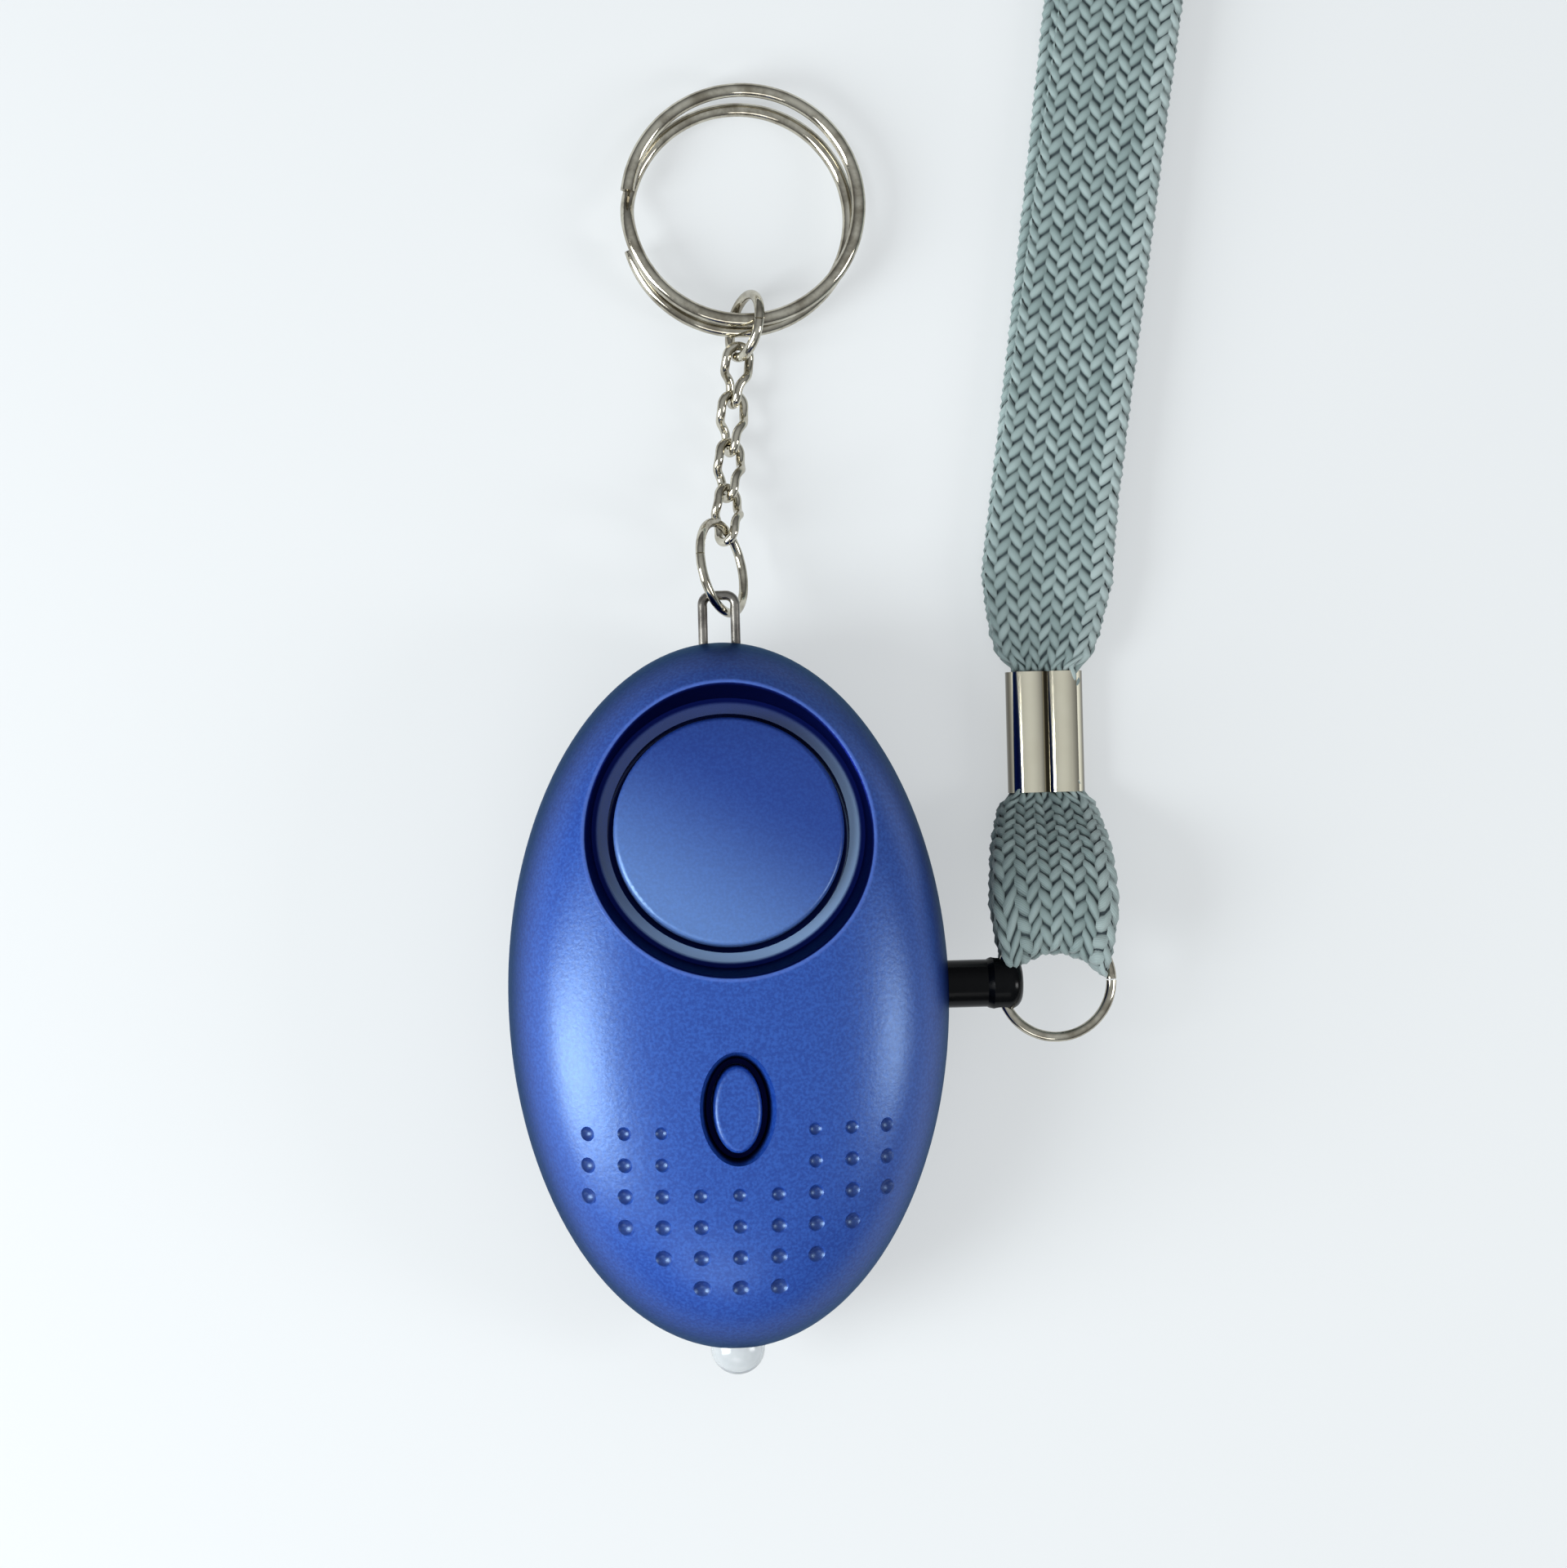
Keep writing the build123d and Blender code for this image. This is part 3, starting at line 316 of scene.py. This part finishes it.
def yarn_float(mesh, line, place, stack, middle, pitch, tint):
    """One crowned float of yarn, leaning with its stack."""
    lean = 1 if stack % 2 else -1
    swell = draw.uniform(*float_swells)
    skew = draw.uniform(-float_skew, float_skew)
    grid = []
    for u in float_stops:
        line_of = []
        for v in float_stops:
            over = (stack + 0.5 + float_half_width * u) / braid_stacks
            reach = float_half_length * v * (1 - float_taper * u * u)
            along = middle + pitch * (lean * (float_lean * u + skew) + reach)
            up = (1 - float_crown_share * u * u) * (1 - v * v) * float_bulge * swell - float_tuck * abs(v)
            line_of.append(mesh.verts.new(place(line, over, min(max(along, 0.0), line.length), up)))
        grid.append(line_of)
    for i in range(len(float_stops) - 1):
        for j in range(len(float_stops) - 1):
            spots = ((i, j), (i + 1, j), (i + 1, j + 1), (i, j + 1))
            uvs = [(2 * tint + 0.5 + float_stops[p] * yarn_half_width, float_stops[q]) for p, q in spots]
            add_face(mesh, [grid[p][q] for p, q in spots], uvs)


def braid(name, line, place):
    """A flat tubular braid: a core that carries painted shade and, on it, stacks of slanted yarn floats that
    lean in turn.
    """
    mesh = bmesh.new()
    mesh.loops.layers.uv.new("yarn")
    braid_core(mesh, line, place)
    rows = round(line.length / braid_pitch)
    pitch = line.length / rows
    edge = (braid_stacks // 2 - 1, braid_stacks // 2)
    for stack in range(braid_stacks):
        for row in range(rows):
            tint = draw.randrange(yarn_tints) + (pale_edge if stack in edge else 0)
            middle = (row + first_rows[stack % 2]) * pitch
            yarn_float(mesh, line, place, stack, middle, pitch, tint)
    mesh.normal_update()
    data = bpy.data.meshes.new(name)
    mesh.to_mesh(data)
    mesh.free()
    made = bpy.data.objects.new(name, data)
    scene.collection.objects.link(made)
    return made


def add_strap(grey):
    side = Vector((1.0, 0.0, 0.0))
    mouth = crimp_end - strap_inside
    under = Line([(crimp_x, mouth, lower_level)] + loop_route[:far_index + 1], side)
    over = Line(loop_route[far_index:] + [(crimp_x, mouth, upper_level)], side)
    lower = braid("strap_under", under, on_loop)
    upper = braid("strap_over", over, on_loop)
    bend = braid("strap_round_ring", Line(fold_route, side), on_fold)
    for piece in (lower, upper, bend):
        piece.data.materials.append(grey)
    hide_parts("strap_loop")
    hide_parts("ring_fold")
    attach(lower, "strap")
    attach(upper, "strap")
    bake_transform(bend)


class Value:
    """One socket of the nodes, on which sums can be written."""

    def __init__(self, graph, socket):
        self.graph = graph
        self.socket = socket

    def sum(self, operation, other=None, turned=False):
        pair = (other, self) if turned else (self, other)
        inputs = {i: value for i, value in enumerate(pair) if value is not None}
        return self.graph.node("Math", {"operation": operation}, inputs)

    def __add__(self, other):
        return self.sum("ADD", other)

    def __sub__(self, other):
        return self.sum("SUBTRACT", other)

    def __mul__(self, other):
        return self.sum("MULTIPLY", other)

    def __truediv__(self, other):
        return self.sum("DIVIDE", other)

    def __pow__(self, other):
        return self.sum("POWER", other)

    def __rsub__(self, other):
        return self.sum("SUBTRACT", other, turned=True)

    __radd__ = __add__
    __rmul__ = __mul__

    def ramp(self, low, high, start=0.0, end=1.0):
        """A smooth step from start to end as the value goes from low to high."""
        inputs = {"Value": self, "From Min": low, "From Max": high, "To Min": start, "To Max": end}
        return self.graph.node("MapRange", {"interpolation_type": "SMOOTHSTEP"}, inputs)

    def reaches(self, count):
        """1 where a whole number is at least a count, else 0."""
        return self.ramp(count - 0.6, count - 0.4)

    def root(self):
        return self.sum("SQRT")

    def size(self):
        return self.sum("ABSOLUTE")


class Graph:
    """The nodes of a material or of the world."""

    def __init__(self, tree):
        self.tree = tree

    def node(self, kind, settings, inputs, output=0):
        """A node of a kind, with its settings, then the values or links of its sockets."""
        made = self.tree.nodes.new("ShaderNode" + kind)
        for key, value in settings.items():
            if key == "stops":
                self.set_stops(made.color_ramp.elements, value)
            else:
                setattr(made, key, value)
        for key, value in inputs.items():
            self.put(made.inputs[key], value)
        return Value(self, made.outputs[output])

    def put(self, socket, value):
        if isinstance(value, Value):
            self.tree.links.new(value.socket, socket)
        else:
            socket.default_value = value

    def set_stops(self, elements, stops):
        for (place, shade), element in zip((stops[0], stops[-1]), elements):
            element.position, element.color = place, shade
        for place, shade in stops[1:-1]:
            elements.new(place).color = shade

    def axes(self, vector):
        split = self.node("SeparateXYZ", {}, {0: vector}).socket.node
        return [Value(self, output) for output in split.outputs]

    def ray(self, kind):
        return self.node("LightPath", {}, {}, f"Is {kind} Ray")


class Finish(Graph):
    """A material under construction: the constants go on the shader's own sockets."""

    def __init__(self, name, **constants):
        self.material = bpy.data.materials.new(name)
        self.material.use_nodes = True
        super().__init__(self.material.node_tree)
        self.shader = self.tree.nodes["Principled BSDF"]
        for key, value in constants.items():
            self.shader.inputs[key.replace("_", " ")].default_value = value

    def feed(self, name, value):
        self.put(self.shader.inputs[name], value)

    def places(self):
        return self.node("TexCoord", {}, {}, "Object")

    def noise(self, scale, detail=2.0, rough=0.5):
        inputs = {"Vector": self.places(), "Scale": scale, "Detail": detail, "Roughness": rough}
        return self.node("TexNoise", {}, inputs)

    def mix(self, share, a, b):
        """A colour between two others."""
        return self.node("Mix", {"data_type": "RGBA"}, {0: share, 6: a, 7: b}, 2)

    def bump(self, height, strength, distance):
        inputs = {"Height": height, "Strength": strength, "Distance": distance}
        self.feed("Normal", self.node("Bump", {}, inputs))


def colour(r, g, b):
    """A colour given as it looks on a screen, 0 to 255."""
    parts = [c / 255 for c in (r, g, b)]
    return tuple(c / 12.92 if c <= 0.04045 else ((c + 0.055) / 1.055) ** 2.4 for c in parts) + (1.0,)


def recess_parts(x, y, z):
    """Where the cap, the gap round it, the ledge, the wall and the rim of the speaker recess are, and the lit
    sides of the cap and the ledge where painted highlight and shade go.
    """
    along = (y - recess_y) * math.cos(recess_tilt) + (z - recess_z) * math.sin(recess_tilt)
    height = (z - recess_z) * math.cos(recess_tilt) - (y - recess_y) * math.sin(recess_tilt)
    radius = (x * x + along * along).root()
    slant = radius - height * math.tan(recess_flare)
    # The cap's lower left, which gets a painted highlight, and the rest of the cap, which gets painted shade
    cap_lit_side = ((x * -0.50 - along * 0.87) / cap_reach).ramp(-0.5, 1.1)
    # The ledge's lower right, where its painted reflection turns from dark blue to grey-blue
    ledge_lit_side = ((x * 0.55 - along * 0.83) / ledge_reach).ramp(-0.6, 0.7)
    cap = (1 - radius.ramp(*cap_edge)) * height.ramp(*cap_heights)
    gap = (1 - radius.ramp(*gap_edge)) * (1 - height.ramp(*gap_heights)) * z.ramp(*gap_floor)
    ledge = radius.ramp(*ledge_inner) * (1 - radius.ramp(*ledge_outer)) * (1 - height.ramp(*ledge_top))
    wall = radius.ramp(*ledge_outer) * (1 - slant.ramp(*rim_inner)) * (1 - height.ramp(*wall_top))
    rim = slant.ramp(*rim_inner) * (1 - slant.ramp(*rim_outer)) * height.ramp(*rim_foot)
    return cap, gap, ledge, wall, rim, cap_lit_side, ledge_lit_side


def oval(x, y, half):
    """1 on an oval round the button's middle, less inside it."""
    return ((x / half[0]) ** 2 + ((y - button_y) / half[1]) ** 2).root()


def button_well(x, y, z):
    """Where the pocket round the light button is."""
    pocket = 1 - oval(x, y, pocket_half).ramp(*pocket_edge)
    beside_key = oval(x, y, key_half).ramp(*key_edge)
    return pocket * (1 - z.ramp(*pocket_brim)) * z.ramp(*pocket_floor) * beside_key


def dimple_floors(x, y, z):
    """Where the front is hollowed by its grip dimples, from their rows and columns."""
    reach = x.size() / dimple_pitch_x
    column_at = reach * (1 + reach * dimple_closing_share)
    row_at = (dimple_first_y - y) / dimple_pitch_y
    column, row = column_at.sum("ROUND"), row_at.sum("ROUND")
    off_x, off_y = (column_at - column) * dimple_pitch_x, (row_at - row) * dimple_pitch_y
    away = (off_x ** 2 + off_y ** 2).root()
    edge = dimple_radius + column * dimple_column_step + row * dimple_row_step
    taken = row.reaches(0) * (1 - row.reaches(dimple_rows)) * (1 - column.reaches(dimple_columns))
    taken = taken * (1 - (column + row).reaches(dimple_corner)) * z.ramp(*front_heights)
    beside_key = (1 - row.reaches(rows_beside_key)) * (1 - column.reaches(columns_beside_key))
    return (1 - (away / edge).ramp(*dimple_edge)) * taken * (1 - beside_key)


def case_blue():
    """Satin metallic paint with a fine grain, with painted shade in the pocket, on the wall of the speaker
    recess, in the gap round the cap, in the dimples and on the flanks, and painted highlights and reflections
    on the cap, the ledge and the rim.
    """
    f = Finish("case_blue", Coat_Roughness=0.14, Specular_IOR_Level=1.0, Specular_Tint=(0.54, 0.76, 0.86, 1.0))
    flake = f.noise(3600, 1.0)
    grain = f.noise(2300, 2.0, 0.6)
    x, y, z = f.axes(f.places())
    cap, gap, ledge, wall, rim, cap_lit_side, ledge_lit_side = recess_parts(x, y, z)
    well = button_well(x, y, z)
    flank = 1 - z.ramp(*flank_heights)
    paint = f.mix(flake.ramp(0.3, 0.75), colour(20, 56, 144), colour(36, 78, 168))
    # Painted shade on the cap away from its lower left, then a painted highlight at its lower left
    paint = f.mix(cap * (1 - cap_lit_side) * 0.55, paint, colour(16, 42, 126))
    paint = f.mix(cap * cap_lit_side * 0.4, paint, colour(128, 166, 216))
    # Painted shade: the steep flanks darkened to dark navy where they reflect darker surroundings
    paint = f.mix(flank * 0.96, paint, colour(2, 12, 78))
    # Painted shade in the hollows of the grip dimples
    paint = f.mix(dimple_floors(x, y, z) * 0.6, paint, colour(6, 20, 84))
    # Painted reflection on the glossy ledge: dark blue at the upper left, grey-blue at the lower right
    paint = f.mix(ledge, paint, f.mix(ledge_lit_side, colour(20, 38, 104), colour(122, 150, 190)))
    # Painted shade on the wall of the speaker recess
    paint = f.mix(wall, paint, colour(6, 16, 78))
    # Painted highlight along the rim of the speaker recess
    paint = f.mix(rim * 0.4, paint, colour(96, 126, 214))
    # Painted shade in the pocket round the light button
    paint = f.mix(well, paint, colour(3, 6, 54))
    # Painted shade in the gap round the cap
    paint = f.mix(gap, paint, colour(14, 30, 96))
    deep = 1 - (1 - well) * (1 - gap) * (1 - wall)
    f.feed("Base Color", paint)
    f.feed("Metallic", 0.07 + 0.89 * (1 - (1 - flank) * (1 - deep)) - 0.1 * ledge)
    f.feed("Roughness", 0.325 - 0.16 * ledge + 0.14 * flank + 0.10 * deep + 0.08 * grain)
    f.feed("Coat Weight", 0.5 * ledge)
    f.bump(grain, 0.26, 0.00007)
    return f.material


def crimp_plate():
    """Mirror plate on the double barrel, with painted shade in the groove between the barrels and a painted
    dark reflection at its sides.
    """
    f = Finish("crimp_nickel", Metallic=1.0)
    cloud = f.noise(300, 2.0)
    x, _, _ = f.axes(f.places())
    away = (x - crimp_x).size()
    shade = (1 - away.ramp(0.00010, 0.00055)) + away.ramp(0.0030, 0.0035)
    bright = f.mix(cloud, colour(252, 246, 224), colour(236, 228, 204))
    # Painted shade in the groove and a painted dark reflection along the sides
    f.feed("Base Color", f.mix(shade * 0.85, bright, colour(52, 44, 34)))
    f.feed("Roughness", 0.05 + 0.05 * cloud)
    return f.material


def metal(name, light, dark, roughness, wear=0.3):
    f = Finish(name, Metallic=1.0)
    cloud = f.noise(420, 4.0, 0.6)
    fine = f.noise(2600, 3.0, 0.65)
    f.feed("Base Color", f.mix(cloud.ramp(0.35, 0.7), light, dark))
    f.feed("Roughness", roughness + wear * 0.25 * fine.ramp(0.45, 0.75))
    f.bump(fine, 0.08, 0.00003)
    return f.material


def moulded(name, light, dark, roughness, coat=0.0, shine=0.5):
    f = Finish(name, Coat_Roughness=0.06, Coat_Weight=coat, Specular_IOR_Level=shine)
    cloud = f.noise(2200, 3.0)
    f.feed("Base Color", f.mix(cloud.ramp(0.3, 0.7), light, dark))
    f.feed("Roughness", roughness + 0.1 * cloud)
    f.bump(cloud, 0.05, 0.00004)
    return f.material


def strap_grey():
    """Grey braid: yarn floats with fine filaments, with a painted highlight on their crowns, painted shade
    between them and a dark core that stands for the shade beneath.
    """
    f = Finish("strap_grey", Sheen_Weight=0.25, Sheen_Roughness=0.4, Specular_IOR_Level=0.25)
    u, v, _ = f.axes(f.node("UVMap", {"uv_map": "yarn"}, {}))
    step = (u * 0.5).sum("FLOOR")
    tint = f.node("TexWhiteNoise", {"noise_dimensions": "1D"}, {"W": step})
    run = u - step * 2.0
    crown = (1 - v * v).ramp(0.0, 0.9) * (1 - ((run - 0.5) * 2.0) ** 2 * 0.45)
    thread = (v * 26.0 + f.noise(900) * 3.0).sum("SINE")
    body = f.mix(tint, colour(126, 144, 143), colour(152, 169, 168))
    # Painted highlight on the crowns of the floats and painted shade at their edges
    yarn = f.mix(crown, colour(84, 98, 98), body)
    yarn = f.mix(thread.ramp(-0.2, 1.0) * 0.2, yarn, colour(180, 196, 195))
    yarn = f.mix(step.ramp(pale_edge - 2, pale_edge - 1) * 0.30, yarn, colour(190, 203, 202))
    # Painted shade: the core seen between the floats is dark
    f.feed("Base Color", f.mix(v.ramp(-1.6, -1.2), colour(54, 65, 69), yarn))
    f.feed("Roughness", 0.72 - 0.12 * crown)
    f.bump(thread * 0.5 + f.noise(5200), 0.35, 0.00005)
    return f.material


def lens_clear():
    f = Finish("lens_clear", Transmission_Weight=0.70, IOR=1.48)
    cloud = f.noise(700)
    f.feed("Base Color", f.mix(cloud, colour(226, 232, 236), colour(240, 244, 246)))
    f.feed("Roughness", 0.12 + 0.06 * cloud)
    return f.material


def finishes():
    return {
        "case_blue": case_blue(),
        "piezo_brass": metal("piezo_brass", colour(205, 170, 92), colour(170, 132, 62), 0.3),
        "ceramic_white": moulded("ceramic_white", colour(232, 228, 218), colour(214, 208, 196), 0.5),
        "wire_red": moulded("wire_red", colour(170, 28, 24), colour(140, 20, 18), 0.4, coat=0.2),
        "board_green": moulded("board_green", colour(30, 92, 52), colour(20, 70, 40), 0.4, coat=0.4),
        "chip_black": moulded("chip_black", colour(26, 26, 28), colour(38, 38, 40), 0.5),
        "switch_white": moulded("switch_white", colour(220, 220, 214), colour(200, 200, 194), 0.45),
        "parts_tan": moulded("parts_tan", colour(172, 140, 96), colour(140, 112, 76), 0.5),
        "ferrite_grey": moulded("ferrite_grey", colour(70, 70, 74), colour(54, 54, 58), 0.6),
        "copper": metal("copper", colour(196, 112, 64), colour(160, 84, 44), 0.25),
        "lens_clear": lens_clear(),
        "tinned": metal("tinned", colour(196, 196, 192), colour(160, 160, 156), 0.3),
        "socket_black": moulded("socket_black", colour(20, 20, 22), colour(30, 30, 32), 0.45),
        "cell_steel": metal("cell_steel", colour(190, 190, 188), colour(160, 160, 158), 0.28),
        "screw_steel": metal("screw_steel", colour(150, 150, 150), colour(110, 110, 110), 0.35),
        "staple_steel": metal("staple_steel", colour(150, 146, 140), colour(96, 92, 88), 0.28),
        "nickel": metal("nickel", colour(204, 199, 184), colour(150, 143, 128), 0.07, wear=0.2),
        "crimp_nickel": crimp_plate(),
        "plug_black": moulded("plug_black", colour(3, 4, 6), colour(6, 7, 9), 0.14, shine=0.12),
        "strap_grey": strap_grey(),
    }


def dress(made):
    """Each CAD node that stays gets its finish from its slot."""
    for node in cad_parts.values():
        for holder in node.material_slots:
            holder.material = made[holder.material.name]


def add_floor():
    bpy.ops.object.select_all(action="DESELECT")
    bpy.ops.mesh.primitive_plane_add(size=floor_size, location=(0.0, 0.0, 0.0))
    floor = bpy.context.object
    floor.name = "floor"
    f = Finish("floor", Roughness=0.55, Specular_IOR_Level=0.2)
    f.feed("Base Color", colour(224, 227, 229))
    pale = f.node("Emission", {}, {"Color": colour(236, 240, 242), "Strength": 1.0})
    seen = (f.ray("Camera") + f.ray("Glossy") + f.ray("Transmission")) * floor_seen_share
    both = f.node("MixShader", {}, {0: seen, 1: Value(f, f.shader.outputs[0]), 2: pale})
    f.put(f.tree.nodes["Material Output"].inputs["Surface"], both)
    floor.data.materials.append(f.material)


def add_sky():
    """A soft studio: grey near the horizon and pale above, and pale all round for the camera and the glass."""
    world = bpy.data.worlds.new("studio")
    scene.world = world
    world.use_nodes = True
    g = Graph(world.node_tree)
    _, _, up = g.axes(g.node("TexCoord", {}, {}, "Generated"))
    stops = ((0.0, (0.12, 0.125, 0.13, 1.0)), (0.5, (0.29, 0.30, 0.31, 1.0)), (1.0, (0.56, 0.585, 0.60, 1.0)))
    sky = g.node("Background", {}, {"Color": g.node("ValToRGB", {"stops": stops}, {0: up}), "Strength": 1.0})
    pale = g.node("Background", {}, {"Color": (0.80, 0.82, 0.83, 1.0), "Strength": 1.0})
    seen = g.ray("Camera").sum("MAXIMUM", g.ray("Transmission"))
    both = g.node("MixShader", {}, {0: seen, 1: sky, 2: pale})
    g.put(g.tree.nodes["World Output"].inputs["Surface"], both)


def add_lamp(name, place, aim, size, power, tint=(1.0, 1.0, 1.0)):
    data = bpy.data.lights.new(name, "AREA")
    data.shape = "RECTANGLE"
    data.size, data.size_y = size
    data.energy = power
    data.color = tint
    lamp = bpy.data.objects.new(name, data)
    scene.collection.objects.link(lamp)
    lamp.location = place
    lamp.rotation_euler = (Vector(aim) - Vector(place)).to_track_quat("-Z", "Y").to_euler()


add_camera()
finish_of = finishes()
add_strap(finish_of["strap_grey"])
dress(finish_of)
add_floor()
add_sky()
add_lamp("left_panel", (-0.42, -0.10, 0.28), (0.0, 0.0, 0.01), (0.22, 0.36), 3.5, tint=(0.95, 0.99, 1.0))
add_lamp("right_panel", (0.46, -0.08, 0.27), (0.02, 0.0, 0.01), (0.12, 0.20), 0.85)
add_lamp("near_panel", (-0.10, -0.60, 0.50), (0.0, 0.0, 0.0), (0.40, 0.24), 0.7)
scene.view_settings.view_transform = "Standard"
